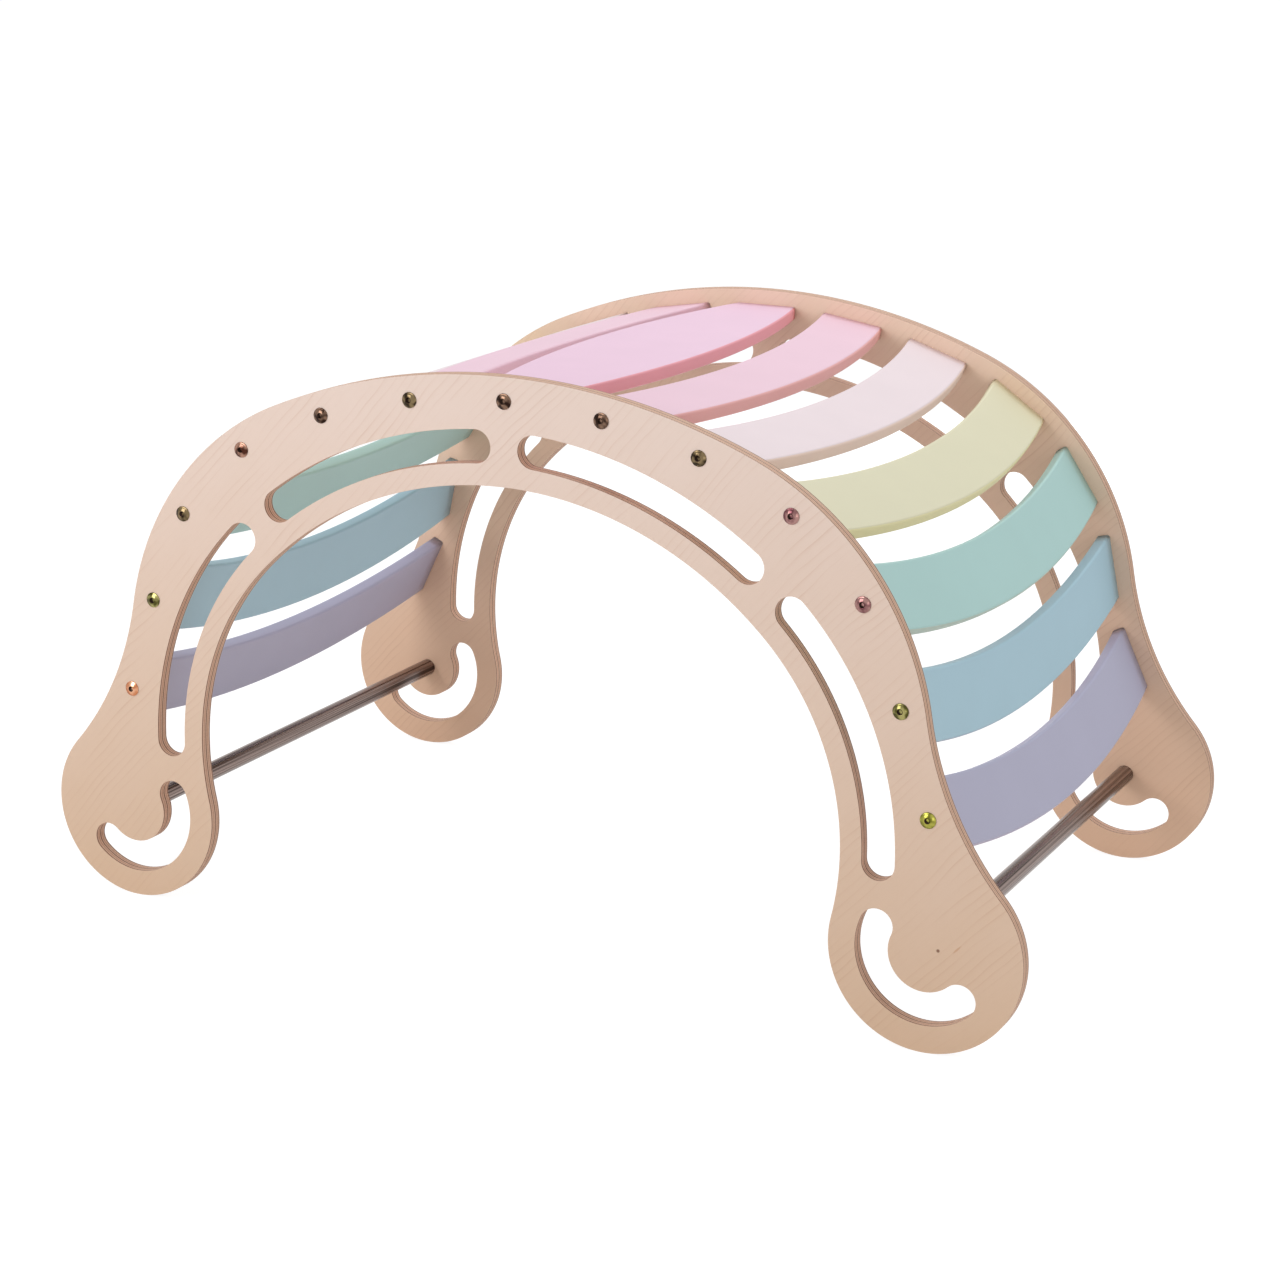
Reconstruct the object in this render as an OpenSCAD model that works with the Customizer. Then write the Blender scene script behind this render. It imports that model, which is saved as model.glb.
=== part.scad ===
// Climbing arch and rocker for children: two plywood side panels joined by thirteen
// curved slats and two steel hand bars. As drawn it stands on its feet as a climbing
// arch; turned over, it rocks on the outer edge of its panels.
// The origin is on the floor, midway between the four feet. X runs along the arch,
// Y across it and Z up. A turn is an angle from straight up, positive towards +X.

/* [Side panels] */
// Height of the crown above the floor
crown_h = 612; // [590:1:640]
// Radius of the outer edge over the crown
crown_r = 682; // [640:1:740]
// Turn at which the crown arc gives way to the shoulder arc
shoulder_turn = 22.9; // [21:0.1:26]
// Radius of the outer edge round the shoulder
shoulder_r = 305; // [280:1:320]
// Radius of the hollow waist between shoulder and foot
waist_r = 331; // [300:1:400]
// Distance between the centres of a panel's two feet
foot_span = 907; // [890:1:930]
// Radius of the round feet
foot_r = 98.7; // [94:0.1:102]
// Thickness of the plywood
panel_t = 15; // [12:1:21]

/* [Archway] */
// Depth of a panel at the crown, from the archway to the outer edge
crown_depth = 110; // [104:1:116]
// Radius of the archway over the crown
vault_r = 399; // [386:1:410]
// Radius of the archway down its flanks
flank_r = 286; // [276:1:296]

/* [Slots in the panels] */
// Width of every slot
slot_w = 34; // [28:1:36]
// Width of the thin rail between the archway and the slots
rail_w = 22.2; // [18:0.2:26]
// Length of the bridge at the crown, between the two upper slots
crown_bridge = 30; // [15:0.5:50]
// Turn at the lower end of an upper slot
upper_slot_end = 36.8; // [32:0.1:38]
// Length of the bridge between an upper and a lower slot
shoulder_bridge = 27; // [15:0.5:45]
// Length of the bridge between a lower slot and the hooked slot of the foot
foot_bridge = 28; // [20:0.5:60]
// Radius of the middle of the hooked slot about the foot centre
hook_r = 54; // [50:0.2:58]
// Turn at the upper end of the hooked slot, seen from the foot centre
hook_start = -67; // [-75:1:-60]
// Turn at the lower end of the hooked slot, seen from the foot centre
hook_end = -222; // [-230:0.5:-200]

/* [Slats] */
// Number of slats on each side of the crown slat
side_slats = 6; // [4:1:6]
// Distance from slat to slat along the line of the bolts
slat_pitch = 106.7; // [100:0.1:108]
// Distance of the line of the bolts from the outer edge of a panel
bolt_inset = 24.4; // [23:0.2:28]
// Length of a slat, which is the clear width between the panels
slat_l = 610; // [560:5:680]
// Width of a slat at its ends
slat_w = 73; // [68:1:80]
// Bow of a slat's long edges
slat_bow = 36; // [20:1:42]
// Thickness of a slat
slat_t = 15; // [14:1:18]
// Radius of a slat's rounded long edges
slat_edge_r = 3; // [1:0.5:5]

/* [Hand bars] */
// Diameter of a bar
bar_d = 20; // [16:1:26]
// Wall thickness of its steel tube
bar_wall = 1.5; // [1:0.5:3]
// Depth of the blind bore that holds each end of a bar
bar_seat = 8; // [5:1:10]
// Clearance between a bar and its bore, all round
bar_gap = 0.1; // [0.05:0.05:0.4]

/* [Bolts] */
// Diameter of a bolt's shank
bolt_d = 6; // [5:1:6]
// Length of a bolt under its head
bolt_l = 35; // [30:1:40]
// Diameter of the flanged head
head_d = 16; // [13:0.5:18]
// Thickness of the flange under the dome of the head
flange_t = 0.8; // [0.5:0.1:1.5]
// Height of the whole head
head_h = 3.2; // [2.6:0.1:4.5]
// Width across the flats of the hexagon socket
socket_af = 4; // [3:0.5:5]
// Depth of the hexagon socket
socket_depth = 2; // [1:0.1:2.4]
// Clearance of a shank in the panel, all round
bolt_gap = 0.25; // [0.1:0.05:0.5]

/* [Inserts and dowels] */
// Outer diameter of the threaded insert in the end of a slat
insert_d = 9; // [8.5:0.5:10]
// Length of the insert
insert_l = 22; // [16:1:26]
// Clearance round an insert and in its thread, all round
insert_gap = 0.05; // [0.02:0.01:0.1]
// Diameter of the wooden dowels that keep a slat from turning
dowel_d = 8; // [6:1:8]
// Length of a dowel
dowel_l = 30; // [24:1:40]
// Depth of a dowel in the panel
dowel_seat = 9; // [6:1:10]
// Distance of a dowel from the bolt
dowel_offset = 23; // [18:1:27]
// Clearance between a dowel and its hole, all round and at its ends
dowel_gap = 0.05; // [0.02:0.01:0.1]

/* [Hidden] */
$fn = 180;
// Facets of the full circles that the slats' long edges are parts of
long_arc_fn = 1440;
// Facets of the full circle that rounds their rims
rim_fn = 12;
// Cutters pass this far beyond the faces they cut
past = 1;
sides = [1, -1];

// Arcs that run into each other smoothly overlap by this much, so that they truly cross
lap = 0.02;

// Centres of the arcs on the +X half of the outline, as [x, z]
foot_c = [foot_span / 2, foot_r];
crown_c = [0, crown_h - crown_r];
shoulder_c = crown_c + (crown_r - shoulder_r + lap) * heading(shoulder_turn);
waist_c = between(shoulder_c, shoulder_r + waist_r - lap, foot_c, foot_r + waist_r - lap);
waist_turn = turn_to(shoulder_c, waist_c);
vault_c = [0, crown_h - crown_depth - vault_r];
flank_c = between(vault_c, vault_r - flank_r + lap, foot_c, flank_r + foot_r - lap);
flank_turn = turn_to(vault_c, flank_c);

// Middle line of the slots that follow the archway
slot_offset = rail_w + slot_w / 2;
vault_slot_r = vault_r + slot_offset;
flank_slot_r = flank_r + slot_offset;
upper_slot_start = asin((crown_bridge + slot_w) / 2 / vault_slot_r);
lower_slot_start = turn_along_slots(upper_slot_end, slot_w + shoulder_bridge);
hook_top = foot_c + hook_r * heading(hook_start);
lower_slot_h = hook_top.y + slot_w + foot_bridge;
lower_slot_end = acos((lower_slot_h - flank_c.y) / flank_slot_r);

// Line of the bolts: crown arc, shoulder arc, then the waist arc, which bends back
crown_line_r = crown_r - bolt_inset;
shoulder_line_r = shoulder_r - bolt_inset;
waist_line_r = waist_r + bolt_inset;
crown_line = arc_length(crown_line_r, shoulder_turn);
shoulder_line = arc_length(shoulder_line_r, waist_turn - shoulder_turn);

// Both long edges of a slat are arcs of this radius
slat_r = pow(slat_l / 2, 2) / (2 * slat_bow) + slat_bow / 2;
width = slat_l + 2 * panel_t;
bar_l = slat_l + 2 * bar_seat;
dowel_start = -slat_l / 2 - dowel_seat;
dowel_end = dowel_start + dowel_l;
slat_count = 2 * side_slats + 1;

violet = "#aeadc6";
blue = "#a0bbcb";
mint = "#a3c8c5";
yellow = "#e3dfbe";
peach = "#eedce0";
pink = "#f0d0e2";
birch = "#e3cbb4";
bronze = "#8a7660";
steel = "#b9b6b4";
brass = "#c9b37a";
beech = "#d9b98c";
// Colours of the slats, from the crown outwards
slat_colours = [pink, pink, peach, yellow, mint, blue, violet];

SLAT_NODES = [for (i = [1:slat_count]) str("slat_", i)];
FRONT_BOLTS = [for (i = [1:slat_count]) str("bolt_front_", i)];
BACK_BOLTS = [for (i = [1:slat_count]) str("bolt_back_", i)];

// Unit vector that points at a turn
function heading(turn) = [sin(turn), cos(turn)];

// Turn of the line from one point to another
function turn_to(from, to) = atan2(to.x - from.x, to.y - from.y);

// Point at distance ra from a and rb from b, on the left of the line from a to b
function between(a, ra, b, rb) =
    let (d = norm(b - a), u = (b - a) / d, along = (ra * ra - rb * rb + d * d) / (2 * d))
    a + along * u + sqrt(ra * ra - along * along) * [-u.y, u.x];

function arc_length(r, angle) = r * angle * PI / 180;
function arc_angle(r, distance) = distance / r * 180 / PI;

// Turn reached by going a distance along the middle of the slots from another turn
function turn_along_slots(turn, distance) =
    let (on_vault = arc_length(vault_slot_r, flank_turn - turn))
    distance < on_vault ? turn + arc_angle(vault_slot_r, distance)
        : flank_turn + arc_angle(flank_slot_r, distance - on_vault);

// Distance of a slat from the crown along the line of the bolts
function slat_distance(i) = abs(i - side_slats) * slat_pitch;
function slat_side(i) = i < side_slats ? -1 : 1;

// Turn of a slat's outward face
function slat_turn(i) =
    let (s = slat_distance(i), shoulder_s = s - crown_line, waist_s = shoulder_s - shoulder_line)
    shoulder_s < 0 ? arc_angle(crown_line_r, s)
        : waist_s < 0 ? shoulder_turn + arc_angle(shoulder_line_r, shoulder_s)
        : waist_turn - arc_angle(waist_line_r, waist_s);

// Bolt of a slat on the +X half, as [x, z]
function bolt_point(i) =
    let (s = slat_distance(i), turn = slat_turn(i))
    s < crown_line ? crown_c + crown_line_r * heading(turn)
        : s < crown_line + shoulder_line ? shoulder_c + shoulder_line_r * heading(turn)
        : waist_c - waist_line_r * heading(turn);

// Stands a panel that lies in the XY plane on its feet, with its outer face at the front
module upright()
    translate([0, -slat_l / 2, 0]) rotate([90, 0, 0]) children();

// Draws its children for both halves of the arch
module both_halves() {
    children();
    mirror([1, 0, 0]) children();
}

// Round plate as thick as the panel, or with over a cutter that passes through it
module disc(centre, r, over = 0)
    translate([centre.x, centre.y, -over]) cylinder(r = r, h = panel_t + 2 * over);

// Plate with straight edges
module plate(points, over = 0)
    translate([0, 0, -over]) linear_extrude(panel_t + 2 * over) polygon(points);

// Points well outside a circle, at turns from one to another
function around(centre, r, from, to) =
    [for (turn = [from, (from + to) / 2, to]) centre + 2 * r * heading(turn)];

// Part of a disc between two turns, which are less than 180 degrees apart
module sector(centre, r, from, to, over = 0)
    intersection() {
        disc(centre, r, over);
        plate(concat([centre], around(centre, r, from, to)), over);
    }

// Slot along an arc, with round ends at two turns
module arc_slot(centre, r, from, to) {
    difference() {
        sector(centre, r + slot_w / 2, from, to, past);
        disc(centre, r - slot_w / 2, 2 * past);
    }
    for (turn = [from, to]) disc(centre + r * heading(turn), slot_w / 2 + lap, past);
}

// Slot that follows the archway from one turn to another
module rail_slot(from, to) {
    if (from < flank_turn) arc_slot(vault_c, vault_slot_r, from, min(to, flank_turn));
    if (to > flank_turn) arc_slot(flank_c, flank_slot_r, max(from, flank_turn), to);
}

// The crown between both shoulders: a sector without its tip, which would reach the archway
module crown()
    intersection() {
        disc(crown_c, crown_r);
        plate(concat([[-shoulder_c.x, shoulder_c.y]],
            around(crown_c, crown_r, -shoulder_turn, shoulder_turn), [shoulder_c]));
    }

// Side panel with its slots, lying on its inner face with its feet towards the X axis
module flat_panel()
    difference() {
        union() {
            difference() {
                union() {
                    crown();
                    both_halves() {
                        sector(shoulder_c, shoulder_r, 0, waist_turn + shoulder_turn);
                        plate([shoulder_c, waist_c, foot_c, flank_c]);
                    }
                }
                sector(vault_c, vault_r, -flank_turn, flank_turn, past);
                both_halves() {
                    disc(waist_c, waist_r, past);
                    disc(flank_c, flank_r, past);
                }
            }
            both_halves() disc(foot_c, foot_r);
        }
        both_halves() {
            rail_slot(upper_slot_start, upper_slot_end);
            rail_slot(lower_slot_start, lower_slot_end);
            arc_slot(foot_c, hook_r, hook_end, hook_start);
        }
    }

// Puts its children at a slat: X along its width away from the crown, Y along its
// length and Z out of its upper face, with the middle of the slat as the origin
module at_slat(i)
    mirror([slat_side(i) < 0 ? 1 : 0, 0, 0])
        translate([bolt_point(i).x, 0, bolt_point(i).y]) rotate([0, slat_turn(i), 0]) children();

// Rod along Y from one y to another
module rod(d, from, to)
    translate([0, to, 0]) rotate([90, 0, 0]) cylinder(d = d, h = to - from);

// The front panel, at y < 0; the back one is its mirror image
module panel()
    difference() {
        upright() flat_panel();
        for (i = [0:slat_count - 1]) at_slat(i) {
            rod(bolt_d + 2 * bolt_gap, -width / 2 - past, -slat_l / 2 + past);
            for (side = sides) translate([side * dowel_offset, 0, 0])
                rod(dowel_d + 2 * dowel_gap, dowel_start - dowel_gap, -slat_l / 2 + past);
        }
        both_halves() translate([foot_c.x, 0, foot_c.y])
            rod(bar_d + 2 * bar_gap, -bar_l / 2, -slat_l / 2 + past);
    }

module hand_bar()
    translate([foot_c.x, 0, foot_c.y]) difference() {
        rod(bar_d, -bar_l / 2, bar_l / 2);
        rod(bar_d - 2 * bar_wall, -bar_l / 2 - past, bar_l / 2 + past);
    }

// Profile from one radius to another, whose rims are rounded over where they are a slat's edge
module edge_profile(from, to, rounded) {
    arc_h = slat_t / 2 - slat_edge_r;
    in = rounded == from ? slat_edge_r : 0;
    out = rounded == to ? slat_edge_r : 0;
    translate([from + in, -slat_t / 2]) square([to - from - in - out, slat_t]);
    translate([from, -arc_h]) square([to - from, 2 * arc_h]);
    for (side = sides) translate([rounded + in - out, side * arc_h]) circle(slat_edge_r, $fn = rim_fn);
}

// Everything inside the bowed long edge of a slat that faces away from the crown
module outer_edge()
    translate([slat_w / 2 + slat_bow - slat_r, 0, 0])
        rotate_extrude($fn = long_arc_fn) edge_profile(0, slat_r, slat_r);

// Everything beyond the hollow long edge of a slat that faces the crown
module inner_edge()
    translate([-slat_w / 2 + slat_bow - slat_r, 0, 0])
        rotate_extrude($fn = long_arc_fn) edge_profile(slat_r, slat_r + 2 * slat_w, slat_r);

// Space between the panels that holds a slat
module slat_space()
    translate([-slat_r, -slat_l / 2, -slat_t]) cube([2 * slat_r, slat_l, 2 * slat_t]);

// The crown slat is bowed on both edges; the others are bent away from it
module slat_board(is_crown)
    intersection() {
        outer_edge();
        union() {
            if (is_crown) mirror([1, 0, 0]) outer_edge();
            else inner_edge();
        }
        slat_space();
    }

module both_ends() {
    children();
    mirror([0, 1, 0]) children();
}

module slat(i)
    color(slat_colours[abs(i - side_slats)]) at_slat(i) difference() {
        slat_board(i == side_slats);
        both_ends() {
            rod(insert_d + 2 * insert_gap, -slat_l / 2 - past, -slat_l / 2 + insert_l + insert_gap);
            for (side = sides) translate([side * dowel_offset, 0, 0])
                rod(dowel_d + 2 * dowel_gap, -slat_l / 2 - past, dowel_end + dowel_gap);
        }
    }

// Flanged bolt with a domed head and a hexagon socket, on the front panel
module bolt(i) {
    dome_r = head_d / 2 - flange_t;
    dome_h = head_h - flange_t;
    sphere_r = (pow(dome_r, 2) + pow(dome_h, 2)) / (2 * dome_h);
    color(bronze) at_slat(i) {
        translate([0, -width / 2, 0]) rotate([90, 0, 0]) difference() {
            rotate_extrude() {
                square([head_d / 2, flange_t]);
                intersection() {
                    translate([0, head_h - sphere_r]) circle(sphere_r);
                    square([dome_r, head_h]);
                }
            }
            translate([0, 0, head_h - socket_depth])
                cylinder(d = socket_af / cos(30), h = socket_depth + past, $fn = 6);
        }
        rod(bolt_d, -width / 2, -width / 2 + bolt_l);
    }
}

// Threaded inserts in the front ends of the slats
module inserts()
    color(brass) for (i = [0:slat_count - 1]) at_slat(i) difference() {
        rod(insert_d, -slat_l / 2, -slat_l / 2 + insert_l);
        rod(bolt_d + 2 * insert_gap, -slat_l / 2 - past, -slat_l / 2 + insert_l + past);
    }

// Dowels between the front panel and the slats
module dowels()
    color(beech) for (i = [0:slat_count - 1], side = sides)
        at_slat(i) translate([side * dowel_offset, 0, 0]) rod(dowel_d, dowel_start, dowel_end);

module side_panel_front() color(birch) panel();
module side_panel_back() mirror([0, 1, 0]) side_panel_front();
module hand_bar_right() color(steel) hand_bar();
module hand_bar_left() mirror([1, 0, 0]) hand_bar_right();
module inserts_front() inserts();
module inserts_back() mirror([0, 1, 0]) inserts();
module dowels_front() dowels();
module dowels_back() mirror([0, 1, 0]) dowels();

side_panel_front();
side_panel_back();
hand_bar_left();
hand_bar_right();
for (i = [0:slat_count - 1]) {
    slat(i);
    bolt(i);
    mirror([0, 1, 0]) bolt(i);
}
inserts_front();
inserts_back();
dowels_front();
dowels_back();
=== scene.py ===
"""Looks of the climbing arch and rocker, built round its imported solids.

Two birch plywood side panels, thirteen painted slats, two stainless hand bars and
twenty-six passivated bolts stand for the solids in the same places. The brass inserts
and the beech dowels keep their solids. All sizes are in metres unless a name says
otherwise. X runs along the arch, Y across it and Z up. A turn is an angle in degrees
from straight up, positive towards +X.
"""

import logging
import math
from dataclasses import dataclass
from enum import Enum

import bmesh
import bpy
from bmesh.types import BMEdge, BMesh, BMVert
from bpy.types import Material, Node, NodeSocket, Object, World
from mathutils import Matrix, Vector


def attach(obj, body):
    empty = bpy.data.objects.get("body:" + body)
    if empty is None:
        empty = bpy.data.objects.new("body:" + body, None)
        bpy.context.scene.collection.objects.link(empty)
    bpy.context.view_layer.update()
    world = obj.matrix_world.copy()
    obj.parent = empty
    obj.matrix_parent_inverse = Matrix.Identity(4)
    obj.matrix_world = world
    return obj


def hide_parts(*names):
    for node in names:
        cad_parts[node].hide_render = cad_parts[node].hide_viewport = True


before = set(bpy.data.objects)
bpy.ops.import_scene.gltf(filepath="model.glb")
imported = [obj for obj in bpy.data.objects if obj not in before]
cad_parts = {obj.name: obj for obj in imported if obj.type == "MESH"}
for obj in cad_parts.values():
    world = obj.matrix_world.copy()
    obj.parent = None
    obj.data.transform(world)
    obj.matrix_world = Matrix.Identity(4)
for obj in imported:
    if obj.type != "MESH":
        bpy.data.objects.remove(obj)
log = logging.getLogger("arch")

Triple = tuple[float, float, float]

MM = 0.001
BODY = "root"
# Furthest that a straight step may cut inside its arc
CHORD_ERROR = 0.03 * MM
# Points of a finished piece nearer than this are one
WELD = 0.005 * MM
# Faces that turn by more than this meet in a sharp edge
SHARP = math.radians(60)
ACROSS = Vector((0.0, 1.0, 0.0))
UP = Vector((0.0, 0.0, 1.0))
ORIGIN = (0.0, 0.0, 0.0)


class Side(Enum):
    """Side of the arch: its word in names, and its sign along Y or along X."""

    FRONT = ("front", -1)
    BACK = ("back", 1)
    LEFT = ("left", -1)
    RIGHT = ("right", 1)

    def __init__(self, word: str, sign: int) -> None:
        """Keeps the word and the sign."""
        self.word = word
        self.sign = sign


# Geometry helpers


def heading(turn: float) -> Vector:
    """Unit vector in the XZ plane that points at a turn."""
    angle = math.radians(turn)
    return Vector((math.sin(angle), 0.0, math.cos(angle)))


def turn_to(start: Vector, end: Vector) -> float:
    """Turn of the line from one point to another."""
    way = end - start
    return math.degrees(math.atan2(way.x, way.z))


def between(a: Vector, reach_a: float, b: Vector, reach_b: float) -> Vector:
    """Finds the centre of an arc that touches two others.

    Args:
        a: Centre of the first arc.
        reach_a: Distance of the point from a.
        b: Centre of the second arc.
        reach_b: Distance of the point from b.

    Returns:
        The point at those distances that lies on the left of the line from a to b.
    """
    span = (b - a).length
    unit = (b - a) / span
    along = (reach_a ** 2 - reach_b ** 2 + span ** 2) / (2 * span)
    rise = math.sqrt(reach_a ** 2 - along ** 2)
    return a + along * unit + rise * Vector((-unit.z, 0.0, unit.x))


def arc_steps(radius: float, angle: float) -> int:
    """Straight steps for an arc, its angle in radians, within the chord error."""
    step = 2 * math.acos(1 - min(CHORD_ERROR / radius, 1.0))
    return max(1, math.ceil(abs(angle) / step))


def verts_of(geom: list) -> list[BMVert]:
    """The vertices in a list of mesh elements."""
    return [item for item in geom if isinstance(item, BMVert)]


def sharp_edges(bm: BMesh) -> list[BMEdge]:
    """The edges at which two faces meet sharply."""
    return [e for e in bm.edges if e.is_manifold and e.calc_face_angle() > SHARP]


def spin(bm: BMesh, geom: list, centre: Vector | Triple, axis: Vector, angle: float,
         steps: int, closed: bool = False) -> list:
    """Sweeps points or edges round an axis.

    Args:
        bm: Mesh that holds them.
        geom: The vertices and edges to sweep.
        centre: A point of the axis.
        axis: Direction of the axis.
        angle: Angle of the sweep, in radians.
        steps: Straight steps that stand for it.
        closed: Whether its end is joined to its start.

    Returns:
        The vertices and edges at the end of the sweep.
    """
    return bmesh.ops.spin(
        bm, geom=geom, cent=centre, axis=axis, dvec=ORIGIN, angle=angle, steps=steps,
        use_merge=closed, use_normal_flip=False, use_duplicate=False)["geom_last"]


def thicken(bm: BMesh, depth: Vector) -> None:
    """Turns flat faces into a solid plate.

    Args:
        bm: Mesh that holds only the flat faces.
        depth: Thickness and direction of the plate.
    """
    grown = bmesh.ops.extrude_face_region(bm, geom=bm.faces[:])
    bmesh.ops.translate(bm, verts=verts_of(grown["geom"]), vec=depth)
    bmesh.ops.recalc_face_normals(bm, faces=bm.faces[:])


def round_edges(bm: BMesh, edges: list, radius: float, segments: int) -> None:
    """Rounds edges over.

    Args:
        bm: Mesh that holds the edges.
        edges: The edges to round.
        radius: Radius of the rounding.
        segments: Facets across it.
    """
    bmesh.ops.bevel(
        bm, geom=edges, offset=radius, offset_type="OFFSET", segments=segments,
        profile=0.5, affect="EDGES", clamp_overlap=True, material=-1)
    bm.normal_update()


def finish_piece(bm: BMesh, name: str, node: str, finishes: list) -> Object:
    """Makes an object of a mesh, with faces outwards and even shading.

    Args:
        bm: The finished mesh, in the frame of the whole object. It is freed.
        name: Name of the piece.
        node: Name of the solid that it stands for.
        finishes: Materials for its slots, in order.

    Returns:
        The object, which rides on the only body.
    """
    bmesh.ops.remove_doubles(bm, verts=bm.verts[:], dist=WELD)
    bmesh.ops.recalc_face_normals(bm, faces=bm.faces[:])
    for face in bm.faces:
        face.smooth = True
    mesh = bpy.data.meshes.new(name)
    bm.to_mesh(mesh)
    bm.free()
    for material in finishes:
        mesh.materials.append(material)
    piece = bpy.data.objects.new(name, mesh)
    bpy.context.scene.collection.objects.link(piece)
    even = piece.modifiers.new("even_shading", "WEIGHTED_NORMAL")
    even.mode = "FACE_AREA"
    even.keep_sharp = True
    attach(piece, BODY)
    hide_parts(node)
    return piece


class Outline:
    """Line of edges that grows arc by arc in the XZ plane."""

    def __init__(self, bm: BMesh, start: Vector) -> None:
        """Starts the line at a point of a mesh."""
        self.bm = bm
        self.last = bm.verts.new(start)

    def arc(self, centre: Vector, end: Vector, clockwise: bool = True) -> None:
        """Carries the line round a centre to a point.

        Args:
            centre: Centre of the arc.
            end: Where the arc ends.
            clockwise: Whether turns grow along the arc.
        """
        angle = math.radians(turn_to(centre, end) - turn_to(centre, self.last.co))
        angle = angle % math.tau if clockwise else -(-angle % math.tau)
        steps = arc_steps((self.last.co - centre).length, angle)
        swept = spin(self.bm, [self.last], centre, ACROSS, angle, steps)
        self.last = verts_of(swept)[0]


# Finishes. A cell is the size of a pattern along each of its axes. A range has the
# From Min, From Max, To Min and To Max of a Map Range node, or only the first two.


def linear(code: str) -> tuple:
    """Linear colour with full alpha of an sRGB hex value."""
    parts = [int(code[i:i + 2], 16) / 255 for i in (1, 3, 5)]
    return tuple(p / 12.92 if p <= 0.04045 else ((p + 0.055) / 1.055) ** 2.4
                 for p in parts) + (1.0,)


WHITE = linear("#ffffff")
# Index of refraction of clear lacquer and sanded wood, and of paint
WOOD_IOR = 1.46
PAINT_IOR = 1.5


class NodeSheet:
    """Node tree of a material or of the world."""

    def __init__(self, owner: Material | World) -> None:
        """Starts with an empty tree.

        Args:
            owner: The material or the world.
        """
        owner.use_nodes = True
        self.owner = owner
        self.tree = owner.node_tree
        self.tree.nodes.clear()

    def add(self, kind: str, *inputs, **settings) -> Node:
        """Adds a node with its settings, values and links.

        Args:
            kind: Type name of the node, after ShaderNode.
            *inputs: What goes into its inputs, in order, or by name in a dict: values,
                output sockets, or nodes, which stand for their first output in use.
            **settings: Attributes of the node.

        Returns:
            The new node.
        """
        node = self.tree.nodes.new(f"ShaderNode{kind}")
        for key, value in settings.items():
            setattr(node, key, value)
        for index, given in enumerate(inputs):
            named = given if isinstance(given, dict) else {index: given}
            for socket, value in named.items():
                if isinstance(value, Node):
                    value = next(out for out in value.outputs if out.enabled)
                if isinstance(value, NodeSocket):
                    self.tree.links.new(value, node.inputs[socket])
                else:
                    node.inputs[socket].default_value = value
        return node

    def cells(self, size: Triple, turn: Triple = ORIGIN,
              place: Triple = ORIGIN) -> Node:
        """Adds Object coordinates, turned and counted in cells of a size.

        Args:
            size: Size of one cell along each of the pattern's axes, in metres.
            turn: Rotation of these axes, in radians.
            place: Where the pattern's origin lies.

        Returns:
            The node that gives the vector.
        """
        coords = self.add("TexCoord").outputs["Object"]
        return self.add("Mapping", {
            "Vector": coords, "Location": place, "Rotation": turn, "Scale": size},
            vector_type="TEXTURE")

    def seen_rays(self) -> Node:
        """Tells the rays that should see plain white from the rays that light things.

        Returns:
            The node whose share is 1 for the camera's, glossy and transmitted rays.
        """
        path = self.add("LightPath").outputs
        seen = path["Is Camera Ray"]
        for name in ("Is Glossy Ray", "Is Transmission Ray"):
            seen = self.add("Math", seen, path[name], operation="MAXIMUM")
        return seen

    def surface(self, shader: Node) -> Material:
        """Makes a shader the surface and returns the material."""
        self.add("OutputMaterial", shader)
        return self.owner


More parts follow.
